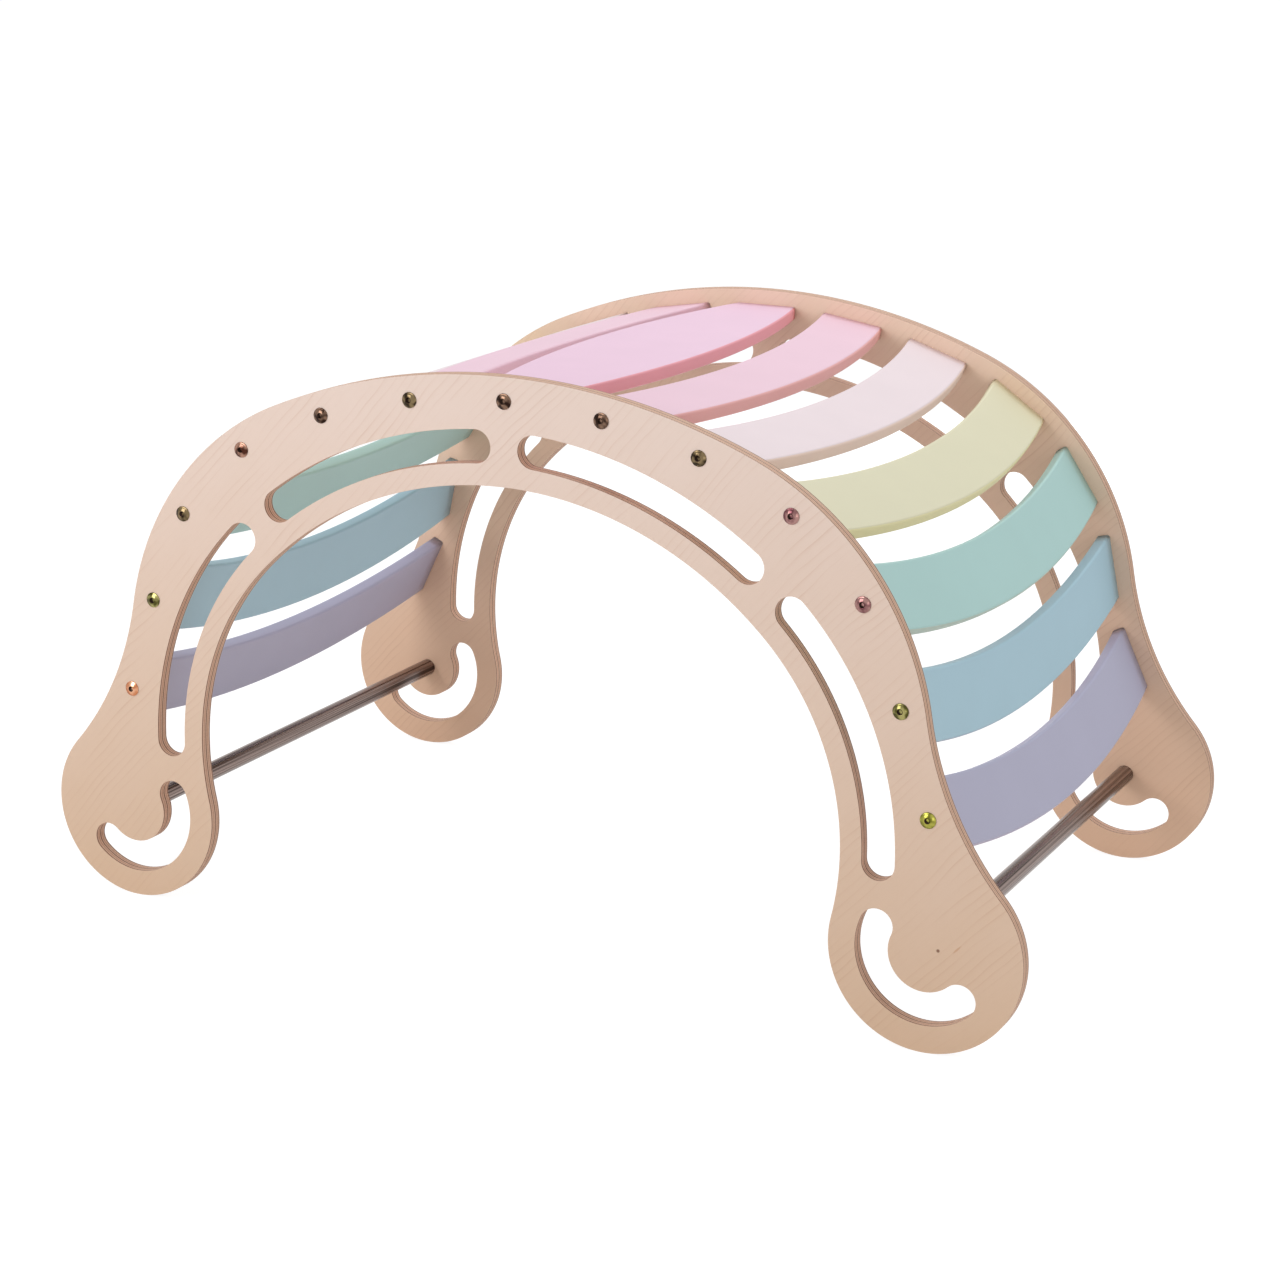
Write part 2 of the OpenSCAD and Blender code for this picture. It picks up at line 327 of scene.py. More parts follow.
@dataclass(frozen=True)
class BirchVeneer:
    """Rotary-cut birch face veneer, sanded and sealed with a matt clear lacquer.

    It gives a pale pinkish tan that grows darker and warmer towards the feet, which is
    painted shade, with fine wavy growth lines that run on a slant and fade in and out,
    and one pin knot with a short streak. Cells are sized along the grain, through the
    panel and across the grain.
    """

    name: str
    lit_crown_wood: str
    shaded_foot_wood: str
    growth: str = "#b98560"
    knot: str = "#876350"
    streak: str = "#cda689"
    roughness: float = 0.55
    grain_turn: float = 43.0
    # The tone turns from foot to crown with the height, which clouds sway. The darker,
    # warmer foot tone is painted shade
    tone_range: tuple = (0.08, 0.64)
    cloud_cell: Triple = (0.16, 0.16, 0.06)
    cloud_sway: float = 0.12
    # The growth lines sway by so many lines over each of these cells
    line_pitch: float = 8.0 * MM
    sways: tuple = (((0.26, 0.26, 0.13), 4.5), ((0.060, 0.060, 0.030), 1.0))
    line_power: float = 6.0
    fade_cell: Triple = (0.110, 0.110, 0.030)
    fade_range: tuple = (0.42, 0.75, 0.02, 0.37)
    # Real pores are 0.1 mm wide; they are drawn 0.7 mm wide so that they show
    pore_cell: Triple = (16.0 * MM, 16.0 * MM, 0.7 * MM)
    pore_range: tuple = (0.55, 0.8, 0.0, 0.10)
    pore_grit: float = 0.6
    pore_depth: float = 0.05 * MM
    pore_bump: float = 0.15
    # A spot fades out from half its reach to the whole of it
    spot_range: tuple = (0.5, 1.0, 1.0, 0.0)
    knot_place: Triple = (0.4672, -0.320, 0.1057)
    knot_reach: Triple = (2.2 * MM, 4.0 * MM, 2.2 * MM)
    streak_place: Triple = (0.4860, -0.320, 0.1102)
    streak_reach: Triple = (7.0 * MM, 4.0 * MM, 1.2 * MM)

    @property
    def turn(self) -> Triple:
        """Rotation that lays the X axis of a pattern along the grain."""
        return (0.0, math.radians(self.grain_turn - 90.0), 0.0)

    def growth_lines(self, sheet: NodeSheet) -> Node:
        """Adds the growth lines: each darkens slowly and ends sharply.

        Args:
            sheet: Tree of the material.

        Returns:
            The node that gives the share of the growth colour.
        """
        pitch = sheet.cells((self.line_pitch,) * 3, self.turn)
        phase = sheet.add("SeparateXYZ", pitch).outputs["Z"]
        for cell, lines in self.sways:
            noise = sheet.add("TexNoise", {
                "Vector": sheet.cells(cell, self.turn), "Scale": 1.0, "Detail": 1.0})
            phase = sheet.add("Math", noise, lines, phase, operation="MULTIPLY_ADD")
        saw = sheet.add("Math", phase, operation="FRACT")
        line = sheet.add("Math", saw, self.line_power, operation="POWER")
        cells = sheet.cells(self.fade_cell, self.turn)
        fade = sheet.add("TexNoise", {"Vector": cells, "Scale": 1.0, "Detail": 2.0})
        strength = sheet.add("MapRange", fade, *self.fade_range)
        return sheet.add("Math", line, strength, operation="MULTIPLY")

    def spot(self, sheet: NodeSheet, place: Triple, reach: Triple) -> Node:
        """Adds a soft spot.

        Args:
            sheet: Tree of the material.
            place: Its middle.
            reach: How far it reaches from there along each axis of the grain.

        Returns:
            The node that gives a share of 1 in the spot and 0 outside.
        """
        cells = sheet.cells(reach, self.turn, place)
        away = sheet.add("VectorMath", cells, operation="LENGTH")
        return sheet.add("MapRange", away, *self.spot_range)

    def material(self) -> Material:
        """Builds the finish.

        Returns:
            Its material.
        """
        sheet = NodeSheet(bpy.data.materials.new(self.name))
        coords = sheet.add("TexCoord").outputs["Object"]
        height = sheet.add("SeparateXYZ", coords).outputs["Z"]
        cells = sheet.cells(self.cloud_cell, self.turn)
        cloud = sheet.add("TexNoise", {"Vector": cells, "Scale": 1.0, "Detail": 2.0})
        swayed = sheet.add("Math", cloud, self.cloud_sway, height,
                           operation="MULTIPLY_ADD")
        # Painted shade: the colour grows darker and warmer from the crown down to the
        # feet
        colour = sheet.add("Mix", {
            "Factor": sheet.add("MapRange", swayed, *self.tone_range),
            "A": linear(self.shaded_foot_wood), "B": linear(self.lit_crown_wood)},
            data_type="RGBA")
        pores = sheet.add("TexNoise", {
            "Vector": sheet.cells(self.pore_cell, self.turn), "Scale": 1.0,
            "Detail": 2.0, "Roughness": self.pore_grit})
        layers = (
            (self.growth_lines(sheet), self.growth),
            (sheet.add("MapRange", pores, *self.pore_range), self.growth),
            (self.spot(sheet, self.knot_place, self.knot_reach), self.knot),
            (self.spot(sheet, self.streak_place, self.streak_reach), self.streak))
        for share, code in layers:
            colour = sheet.add("Mix", {
                "Factor": share, "A": colour, "B": linear(code)}, data_type="RGBA")
        bump = sheet.add("Bump", {
            "Strength": self.pore_bump, "Distance": self.pore_depth, "Height": pores})
        return sheet.surface(sheet.add("BsdfPrincipled", {
            "Base Color": colour, "Roughness": self.roughness, "IOR": WOOD_IOR,
            "Normal": bump}))


class Veneer(Enum):
    """Sheets of veneer on a panel. The inner face's warmer one is painted shade."""

    OUTER = BirchVeneer("birch_veneer_face", "#e8d4c9", "#dabca1")
    # The inner face's warmer colours are painted shade and warm bounce light
    INNER_WARM_SHADE = BirchVeneer("birch_veneer_inner_painted_shade", "#f1d4be", "#e4c0a4")


@dataclass(frozen=True)
class PlywoodEdge:
    """Routed and sanded edge of birch plywood.

    It gives stripes along the edge, the same from both faces: the pale face veneer, a
    dark glue line, a browner cross ply between pale long ones, and dark glue in the
    middle. A glue line is 0.1 mm thick and is drawn over 1 mm wide so that it shows.
    """

    veneer: str = "#dcbca2"
    glue: str = "#74463a"
    long_ply: str = "#e6c4aa"
    cross_ply: str = "#bf8b6e"
    inner_face: float = 305.0 * MM
    thickness: float = 15.0 * MM
    # End grain shows as flecks about 0.5 mm wide, drawn 1 mm wide so that they show
    fleck_cell: Triple = (1.0 * MM, 6.0 * MM, 1.0 * MM)
    fleck_range: tuple = (0.35, 0.75, 0.0, 0.35)
    roughness: float = 0.62

    @property
    def stripes(self) -> tuple:
        """Stripes by the depth from the nearer face at which each starts."""
        return (
            (0.0, self.veneer), (0.4 * MM, self.glue), (1.6 * MM, self.long_ply),
            (4.0 * MM, self.cross_ply), (4.9 * MM, self.long_ply),
            (6.8 * MM, self.glue))

    def material(self) -> Material:
        """Builds the finish.

        Returns:
            Its material.
        """
        sheet = NodeSheet(bpy.data.materials.new("birch_plywood_edge"))
        half = self.thickness / 2
        coords = sheet.add("TexCoord").outputs["Object"]
        across = sheet.add("SeparateXYZ", coords).outputs["Y"]
        out = sheet.add("Math", across, operation="ABSOLUTE")
        offset = sheet.add("Math", out, self.inner_face + half, operation="SUBTRACT")
        from_middle = sheet.add("Math", offset, operation="ABSOLUTE")
        depth = sheet.add("MapRange", from_middle, half, 0.0)
        ramp = sheet.add("ValToRGB", depth)
        ramp.color_ramp.interpolation = "CONSTANT"
        band = ramp.color_ramp.elements
        band.remove(band[-1])
        for start, code in self.stripes:
            stripe = band.new(start / half) if start else band[0]
            stripe.color = linear(code)
        flecks = sheet.add("TexNoise", {
            "Vector": sheet.cells(self.fleck_cell), "Scale": 1.0, "Detail": 2.0})
        colour = sheet.add("Mix", {
            "Factor": sheet.add("MapRange", flecks, *self.fleck_range),
            "A": ramp, "B": linear(self.cross_ply)}, data_type="RGBA")
        return sheet.surface(sheet.add("BsdfPrincipled", {
            "Base Color": colour, "Roughness": self.roughness, "IOR": WOOD_IOR}))


@dataclass(frozen=True)
class SatinPaint:
    """Water-based satin furniture paint, sprayed on smooth sanded wood.

    It gives an even pastel colour with a soft wide sheen and a very faint orange peel.
    """

    name: str
    colour: str
    roughness: float = 0.48
    peel: float = 3.0 * MM
    peel_depth: float = 0.05 * MM
    peel_bump: float = 0.08
    # Clouds of tone have this many cells in one cell of the peel
    cloud_scale: float = 0.04
    cloud_range: tuple = (0.3, 0.7, 0.975, 1.0)

    def material(self) -> Material:
        """Builds the finish.

        Returns:
            Its material.
        """
        sheet = NodeSheet(bpy.data.materials.new(self.name))
        cells = sheet.cells((self.peel,) * 3)
        peel = sheet.add("TexNoise", {"Vector": cells, "Scale": 1.0, "Detail": 1.0})
        bump = sheet.add("Bump", {
            "Strength": self.peel_bump, "Distance": self.peel_depth, "Height": peel})
        cloud = sheet.add("TexNoise", {
            "Vector": cells, "Scale": self.cloud_scale, "Detail": 2.0})
        tone = sheet.add("MapRange", cloud, *self.cloud_range)
        colour = sheet.add("Mix", {
            "Factor": 1.0, "A": linear(self.colour), "B": tone},
            data_type="RGBA", blend_type="MULTIPLY")
        return sheet.surface(sheet.add("BsdfPrincipled", {
            "Base Color": colour, "Roughness": self.roughness, "IOR": PAINT_IOR,
            "Normal": bump}))


# Roughness of the satin paint on a routed edge, whose grain drinks more of it
RIM_ROUGHNESS = 0.55


class Paint(Enum):
    """Paint of a pair of slats, by its distance from the crown slat.

    The first colour is that of the broad faces. The second, on the faces that lean away
    from the crown, is duller, and its warmer colour is painted bounce light and shade.
    """

    CROWN_PINK = ("#f5cfe7", "#ffafb9")
    PINK = ("#f5cee0", "#ffc0bd")
    PEACH = ("#f4e3e8", "#ffe6da")
    YELLOW = ("#ece8c6", "#f9f2be")
    MINT = ("#b8e1de", "#c9dcd0")
    BLUE = ("#b3d9ea", "#c4d3e4")
    VIOLET = ("#bdbdd7", "#c9c2dc")

    def materials(self) -> list[Material]:
        """Builds the finishes.

        Returns:
            The material of the faces and that of the rims, whose colour is painted
            shade.
        """
        # The rim colour is painted bounce light and shade
        face, rim_shade = self.value
        name = f"satin_paint_{self.name.lower()}"
        return [SatinPaint(name, face).material(),
                SatinPaint(f"{name}_rim", rim_shade, RIM_ROUGHNESS).material()]


@dataclass(frozen=True)
class BrushedSteel:
    """Stainless steel tube, brushed along its length with fine grit.

    It gives long thin streaks and a soft highlight that runs from end to end.
    """

    bright: str = "#a8958e"
    dull: str = "#3d2f2a"
    # Brush lines are about 0.1 mm wide; they are drawn in bands 2.4 mm wide that show
    streak_cell: Triple = (2.4 * MM, 800.0 * MM, 2.4 * MM)
    streak_grit: float = 0.55
    streak_range: tuple = (0.36, 0.66)
    gloss_range: tuple = (0.3, 0.7, 0.20, 0.36)
    streak_depth: float = 0.02 * MM
    streak_bump: float = 0.2

    def material(self) -> Material:
        """Builds the finish.

        Returns:
            Its material.
        """
        sheet = NodeSheet(bpy.data.materials.new("stainless_steel_brushed"))
        streaks = sheet.add("TexNoise", {
            "Vector": sheet.cells(self.streak_cell), "Scale": 1.0, "Detail": 4.0,
            "Roughness": self.streak_grit})
        colour = sheet.add("Mix", {
            "Factor": sheet.add("MapRange", streaks, *self.streak_range),
            "A": linear(self.dull), "B": linear(self.bright)}, data_type="RGBA")
        gloss = sheet.add("MapRange", streaks, *self.gloss_range)
        bump = sheet.add("Bump", {
            "Strength": self.streak_bump, "Distance": self.streak_depth,
            "Height": streaks})
        return sheet.surface(sheet.add("BsdfPrincipled", {
            "Base Color": colour, "Metallic": 1.0, "Roughness": gloss,
            "Normal": bump}))


@dataclass(frozen=True)
class TwoTone:
    """Base of the finishes whose colour wanders between two tones.

    A metal keeps the default index of refraction, which is the value here.
    """

    name: str
    dark: str
    light: str
    roughness: float
    cell: Triple
    detail: float = 2.0
    tone_range: tuple = (0.0, 1.0)
    metallic: float = 1.0
    ior: float = 1.5

    def material(self) -> Material:
        """Builds the finish.

        Returns:
            Its material.
        """
        sheet = NodeSheet(bpy.data.materials.new(self.name))
        noise = sheet.add("TexNoise", {
            "Vector": sheet.cells(self.cell), "Scale": 1.0, "Detail": self.detail})
        colour = sheet.add("Mix", {
            "Factor": sheet.add("MapRange", noise, *self.tone_range),
            "A": linear(self.dark), "B": linear(self.light)}, data_type="RGBA")
        return sheet.surface(sheet.add("BsdfPrincipled", {
            "Base Color": colour, "Metallic": self.metallic,
            "Roughness": self.roughness, "IOR": self.ior}))


@dataclass(frozen=True)
class PassivatedZinc(TwoTone):
    """Zinc-plated steel with a yellow chromate film, bright from the barrel.

    The film gives each head its own tint, which drifts between a dark and a polished
    tone. The walls of the socket and its dish get a dark tint instead, which is painted
    shade and dark reflection.
    """

    roughness: float = 0.14
    cell: Triple = (7.0 * MM,) * 3
    detail: float = 1.0
    tone_range: tuple = (0.40, 0.60)


class BoltTint(Enum):
    """Tints of the film: its dark and its polished tone, and a roughness of its own."""

    COPPER = ("#c57f58", "#e6b391")
    OLIVE = ("#4f4b24", "#a29a62")
    RED_BROWN = ("#4d2c22", "#a8806e")
    BRONZE = ("#33291d", "#7f6d50")
    DARK_BROWN = ("#2c1d17", "#7f6453")
    MAUVE = ("#6d4348", "#a57e78")
    GREEN_GOLD = ("#6c6a26", "#a5a14a")
    # Painted shade and dark reflection for the walls of the socket and its dish
    RECESS_SHADE = ("#2b1f19", "#41302a", 0.45)

    def material(self) -> Material:
        """Builds the finish in this tint."""
        name = f"zinc_passivated_{self.name.lower()}"
        return PassivatedZinc(name, *self.value).material()


# Tints of the bolts of each panel, from the left foot to the right one
BOLT_TINTS = (
    BoltTint.COPPER, BoltTint.OLIVE, BoltTint.BRONZE, BoltTint.RED_BROWN,
    BoltTint.DARK_BROWN, BoltTint.BRONZE, BoltTint.DARK_BROWN, BoltTint.DARK_BROWN,
    BoltTint.BRONZE, BoltTint.MAUVE, BoltTint.MAUVE, BoltTint.OLIVE,
    BoltTint.GREEN_GOLD)


@dataclass(frozen=True)
class TurnedBrass(TwoTone):
    """Free-cutting brass turned on a lathe, dull where it sits in the wood.

    It gives a warm yellow metal with fine rings round the axis.
    """

    name: str = "brass_turned"
    dark: str = "#b08c4c"
    light: str = "#d8b468"
    roughness: float = 0.35
    cell: Triple = (50.0 * MM, 0.4 * MM, 50.0 * MM)


@dataclass(frozen=True)
class BeechRod(TwoTone):
    """Steamed beech dowel rod, planed round and cut to length.

    It gives a reddish tan with short dark flecks along the rod.
    """

    name: str = "beech_dowel_rod"
    dark: str = "#d7b08a"
    light: str = "#b98a63"
    roughness: float = 0.6
    cell: Triple = (0.5 * MM, 3.0 * MM, 0.5 * MM)
    metallic: float = 0.0
    ior: float = WOOD_IOR


# Sub-assemblies


@dataclass(frozen=True)
class ArchPlan:
    """Sizes that every piece of the arch takes its place from.

    The right half of the outline runs from the crown arc over the shoulder arc and the
    hollow waist arc to the round foot. Slats are numbered from the left foot.
    """

    crown_h: float = 0.612
    crown_r: float = 0.682
    shoulder_turn: float = 22.9
    shoulder_r: float = 0.305
    waist_r: float = 0.331
    foot_span: float = 0.907
    foot_r: float = 0.0987
    slat_l: float = 0.610
    panel_t: float = 0.015
    bolt_inset: float = 0.0244
    slat_pitch: float = 0.1067
    side_slats: int = 6

    @property
    def foot_c(self) -> Vector:
        """Centre of the right foot."""
        return Vector((self.foot_span / 2, 0.0, self.foot_r))

    @property
    def crown_c(self) -> Vector:
        """Centre of the crown arc."""
        return (self.crown_h - self.crown_r) * UP

    @property
    def shoulder_c(self) -> Vector:
        """Centre of the right shoulder arc."""
        reach = self.crown_r - self.shoulder_r
        return self.crown_c + reach * heading(self.shoulder_turn)

    @property
    def waist_c(self) -> Vector:
        """Centre of the right waist arc."""
        return between(self.shoulder_c, self.shoulder_r + self.waist_r,
                       self.foot_c, self.foot_r + self.waist_r)

    @property
    def waist_turn(self) -> float:
        """Turn at which the shoulder arc gives way to the waist arc."""
        return turn_to(self.shoulder_c, self.waist_c)

    @property
    def slats(self) -> range:
        """Numbers of all slats."""
        return range(1, 2 * self.side_slats + 2)

    def step(self, index: int) -> int:
        """Steps from the crown slat to a slat, positive to the right."""
        return index - 1 - self.side_slats

    def seat(self, step: int) -> tuple[Vector, float]:
        """Finds the place of a slat on the right half.

        Args:
            step: How many slats it is away from the crown slat.

        Returns:
            The point of its bolts in the XZ plane, and the turn of its upper face.
        """
        crown_r = self.crown_r - self.bolt_inset
        shoulder_r = self.shoulder_r - self.bolt_inset
        waist_r = self.waist_r + self.bolt_inset
        left = step * self.slat_pitch
        crown_s = crown_r * math.radians(self.shoulder_turn)
        shoulder_s = shoulder_r * math.radians(self.waist_turn - self.shoulder_turn)
        if left < crown_s:
            turn = math.degrees(left / crown_r)
            return self.crown_c + crown_r * heading(turn), turn
        left -= crown_s
        if left < shoulder_s:
            turn = self.shoulder_turn + math.degrees(left / shoulder_r)
            return self.shoulder_c + shoulder_r * heading(turn), turn
        turn = self.waist_turn - math.degrees((left - shoulder_s) / waist_r)
        return self.waist_c - waist_r * heading(turn), turn


@dataclass
class SidePanel:
    """One plywood side panel with its slots, holes and eased edges."""

    plan: ArchPlan
    side: Side
    crown_depth: float = 0.110
    vault_r: float = 0.399
    flank_r: float = 0.286
    slot_w: float = 0.034
    rail_w: float = 0.0222
    crown_bridge: float = 0.030
    upper_slot_end: float = 36.8
    shoulder_bridge: float = 0.027
    foot_bridge: float = 0.028
    hook_r: float = 0.054
    hook_start: float = -67.0
    hook_end: float = -222.0
    hole_r: float = 0.00325
    ease: float = 0.0010
    ease_facets: int = 3
    # The solid's chords cut inside its arcs, so the outline is drawn this much in
    inset: float = 0.00016
    # Ends of the two halves of a line that lie nearer than this are joined
    seam: float = 0.02 * MM
    # A face whose normal leans no further than this belongs to the veneer
    flat: float = 0.999

    @property
    def vault_c(self) -> Vector:
        """Centre of the archway's arc over the crown."""
        return (self.plan.crown_h - self.crown_depth - self.vault_r) * UP

    @property
    def flank_c(self) -> Vector:
        """Centre of the archway's right flank."""
        plan = self.plan
        return between(self.vault_c, self.vault_r - self.flank_r,
                       plan.foot_c, self.flank_r + plan.foot_r)

    def draw_outline(self, bm: BMesh) -> None:
        """Draws the right half of the outline, from the crown down and back.

        Args:
            bm: Mesh to draw in.
        """
        plan = self.plan
        crown_c, shoulder_c, waist_c = plan.crown_c, plan.shoulder_c, plan.waist_c
        foot_c, vault_c, flank_c = plan.foot_c, self.vault_c, self.flank_c
        crown_end, shoulder_end = heading(plan.shoulder_turn), heading(plan.waist_turn)
        line = Outline(bm, (plan.crown_h - self.inset) * UP)
        line.arc(crown_c, crown_c + plan.crown_r * crown_end)
        line.arc(shoulder_c, shoulder_c + plan.shoulder_r * shoulder_end)
        waist_end, foot_end, flank_end = (
            heading(turn_to(centre, other)) for centre, other in (
                (foot_c, waist_c), (foot_c, flank_c), (vault_c, flank_c)))
        line.arc(waist_c, foot_c + plan.foot_r * waist_end, False)
        line.arc(foot_c, foot_c + plan.foot_r * foot_end)
        line.arc(flank_c, vault_c + self.vault_r * flank_end, False)
        line.arc(vault_c, vault_c + self.vault_r * UP, False)

    def draw_slot(self, bm: BMesh, centre: Vector, radius: float,
                  start: float, end: float) -> None:
        """Draws a slot along an arc, with round ends.

        Args:
            bm: Mesh to draw in.
            centre: Centre of the arc.
            radius: Radius of the middle of the slot.
            start: Turn of its first end.
            end: Turn of its other end.
        """
        outer, inner = radius + self.slot_w / 2, radius - self.slot_w / 2
        to_start, to_end = heading(start), heading(end)
        line = Outline(bm, centre + outer * to_start)
        line.arc(centre, centre + outer * to_end)
        line.arc(centre + radius * to_end, centre + inner * to_end)
        line.arc(centre, centre + inner * to_start, False)
        line.arc(centre + radius * to_start, centre + outer * to_start)

    def draw_slots(self, bm: BMesh) -> None:
        """Draws the three slots of the right half.

        Args:
            bm: Mesh to draw in.
        """
        foot_c, vault_c, flank_c = self.plan.foot_c, self.vault_c, self.flank_c
        offset = self.rail_w + self.slot_w / 2
        vault_slot_r, flank_slot_r = self.vault_r + offset, self.flank_r + offset
        flank_turn = turn_to(vault_c, flank_c)
        upper_start = math.degrees(
            math.asin((self.crown_bridge + self.slot_w) / 2 / vault_slot_r))
        step = self.slot_w + self.shoulder_bridge
        on_vault = vault_slot_r * math.radians(flank_turn - self.upper_slot_end)
        lower_start = flank_turn + math.degrees((step - on_vault) / flank_slot_r)
        hook_top = foot_c + self.hook_r * heading(self.hook_start)
        lower_h = hook_top.z + self.slot_w + self.foot_bridge
        lower_end = math.degrees(math.acos((lower_h - flank_c.z) / flank_slot_r))
        self.draw_slot(bm, vault_c, vault_slot_r, upper_start, self.upper_slot_end)
        self.draw_slot(bm, flank_c, flank_slot_r, lower_start, lower_end)
        self.draw_slot(bm, foot_c, self.hook_r, self.hook_end, self.hook_start)

    def draw_holes(self, bm: BMesh) -> None:
        """Draws the bolt holes of the right half, with half of the one at the crown.

        Args:
            bm: Mesh to draw in.
        """
        for step in range(self.plan.side_slats + 1):
            centre, _ = self.plan.seat(step)
            top, bottom = centre + self.hole_r * UP, centre - self.hole_r * UP
            line = Outline(bm, top)
            line.arc(centre, bottom)
            if step:
                line.arc(centre, top)

    def build(self, finishes: list[Material]) -> Object:
        """Builds the panel.

        Args:
            finishes: Materials of its outer face, its inner face and its edges.

        Returns:
            The finished piece.
        """
        bm = bmesh.new()
        self.draw_outline(bm)
        self.draw_slots(bm)
        self.draw_holes(bm)
        bmesh.ops.mirror(bm, geom=bm.verts[:] + bm.edges[:], axis="X",
                         merge_dist=self.seam / 2)
        bmesh.ops.remove_doubles(bm, verts=bm.verts[:], dist=self.seam)
        bmesh.ops.triangle_fill(bm, edges=bm.edges[:], use_beauty=True,
                                use_dissolve=False)
        inner = self.side.sign * self.plan.slat_l / 2
        bmesh.ops.translate(bm, verts=bm.verts[:], vec=inner * ACROSS)
        thicken(bm, self.side.sign * self.plan.panel_t * ACROSS)
        round_edges(bm, sharp_edges(bm), self.ease, self.ease_facets)
        # The inner face gets the warmer veneer, whose warmth is painted shade
        for face in bm.faces:
            outward = self.side.sign * face.normal.y
            is_veneer = abs(outward) > self.flat
            face.material_index = (0 if outward > 0 else 1) if is_veneer else 2
        word = self.side.word
        return finish_piece(bm, f"birch_panel_{word}", f"side_panel_{word}", finishes)


@dataclass
class Slat:
    """One flat slat with bowed long edges that are rounded over."""

    plan: ArchPlan
    index: int
    width: float = 0.073
    bow: float = 0.036
    thickness: float = 0.015
    edge_r: float = 0.003
    edge_facets: int = 5
    # The edges at the ends, and all that lies this near them, stay sharp
    end_margin: float = 0.1 * MM
    # A face whose normal leans outwards further than this gets the rim paint, whose
    # colour is painted bounce light and shade
    shaded_rim_lean: float = 0.6

    @property
    def radius(self) -> float:
        """Radius of both long edges."""
        return (self.plan.slat_l / 2) ** 2 / (2 * self.bow) + self.bow / 2

    @property
    def step(self) -> int:
        """Steps from the crown slat to this one."""
        return self.plan.step(self.index)

    @property
    def paint(self) -> Paint:
        """Paint of the slat."""
        return list(Paint)[abs(self.step)]

    @property
    def seat(self) -> Matrix:
        """Seats the slat with X away from the crown and Z out of its upper face.

        Returns:
            The matrix that carries it there from the origin.
        """
        point, turn = self.plan.seat(abs(self.step))
        half_turn = Matrix.Rotation(math.pi if self.step < 0 else 0.0, 4, "Z")
        return (half_turn @ Matrix.Translation(point)
                @ Matrix.Rotation(math.radians(turn), 4, "Y"))

    def draw_edge(self, bm: BMesh, middle: float, outward: int) -> None:
        """Draws one long edge.

        Args:
            bm: Mesh to draw in.
            middle: Where the edge crosses the slat's middle, along X.
            outward: Direction in which it bows, 1 or -1 along X.
        """
        centre = Vector((middle - outward * self.radius, 0.0, 0.0))
        angle = 2 * math.asin(self.plan.slat_l / 2 / self.radius)
        to_middle = Vector((outward * self.radius, 0.0, 0.0))
        start = bm.verts.new(centre + Matrix.Rotation(-angle / 2, 3, "Z") @ to_middle)
        spin(bm, [start], centre, UP, angle, arc_steps(self.radius, angle))

    def build(self, finishes: list[Material]) -> Object:
        """Builds the slat.

        Args:
            finishes: Paints of its faces and, in painted shade, of its rims.

        Returns:
            The finished piece.
        """
        bm = bmesh.new()
        # The inner edge bows with the outer one, and on the crown slat against it
        inner_bow = 1 if self.step else -1
        self.draw_edge(bm, self.width / 2 + self.bow, 1)
        self.draw_edge(bm, inner_bow * self.bow - self.width / 2, inner_bow)
        bmesh.ops.bridge_loops(bm, edges=bm.edges[:])
        bmesh.ops.translate(bm, verts=bm.verts[:], vec=-self.thickness / 2 * UP)
        thicken(bm, self.thickness * UP)
        before_end = self.plan.slat_l / 2 - self.end_margin
        rims = [edge for edge in sharp_edges(bm)
                if abs(edge.verts[0].co.y + edge.verts[1].co.y) / 2 < before_end]
        round_edges(bm, rims, self.edge_r, self.edge_facets)
        # Faces that lean away from the crown get the rim paint of painted bounce light
        # and shade
        for face in bm.faces:
            outward = face.normal.x if self.step else abs(face.normal.x)
            face.material_index = 1 if outward > self.shaded_rim_lean else 0
        bmesh.ops.transform(bm, matrix=self.seat, verts=bm.verts[:])
        name, node = f"painted_slat_{self.index}", f"slat_{self.index}"
        return finish_piece(bm, name, node, finishes)


@dataclass
class HandBar:
    """One steel tube between the feet, with its ends in the panels."""

    plan: ArchPlan
    side: Side
    diameter: float = 0.020
    wall: float = 0.0015
    seat: float = 0.008
    sectors: int = 72

    def build(self, finishes: list[Material]) -> Object:
        """Builds the tube from the outline of its wall, spun round its axis.

        Args:
            finishes: Its only material.

        Returns:
            The finished piece.
        """
        bm = bmesh.new()
        half = self.plan.slat_l / 2 + self.seat
        start = bm.verts.new((self.diameter / 2, -half, 0))
        along = bmesh.ops.extrude_vert_indiv(bm, verts=[start])
        bmesh.ops.translate(bm, verts=along["verts"], vec=2 * half * ACROSS)
        wall = bmesh.ops.extrude_edge_only(bm, edges=along["edges"])
        bmesh.ops.translate(bm, verts=verts_of(wall["geom"]), vec=(-self.wall, 0, 0))
        bmesh.ops.delete(bm, geom=bm.faces[:], context="FACES_ONLY")
        line = bm.verts[:] + bm.edges[:]
        spin(bm, line, ORIGIN, ACROSS, math.tau, self.sectors, closed=True)
        foot = self.plan.foot_c
        place = (self.side.sign * foot.x, 0, foot.z)
        bmesh.ops.translate(bm, verts=bm.verts[:], vec=place)
        word = self.side.word
        return finish_piece(bm, f"steel_bar_{word}", f"hand_bar_{word}", finishes)


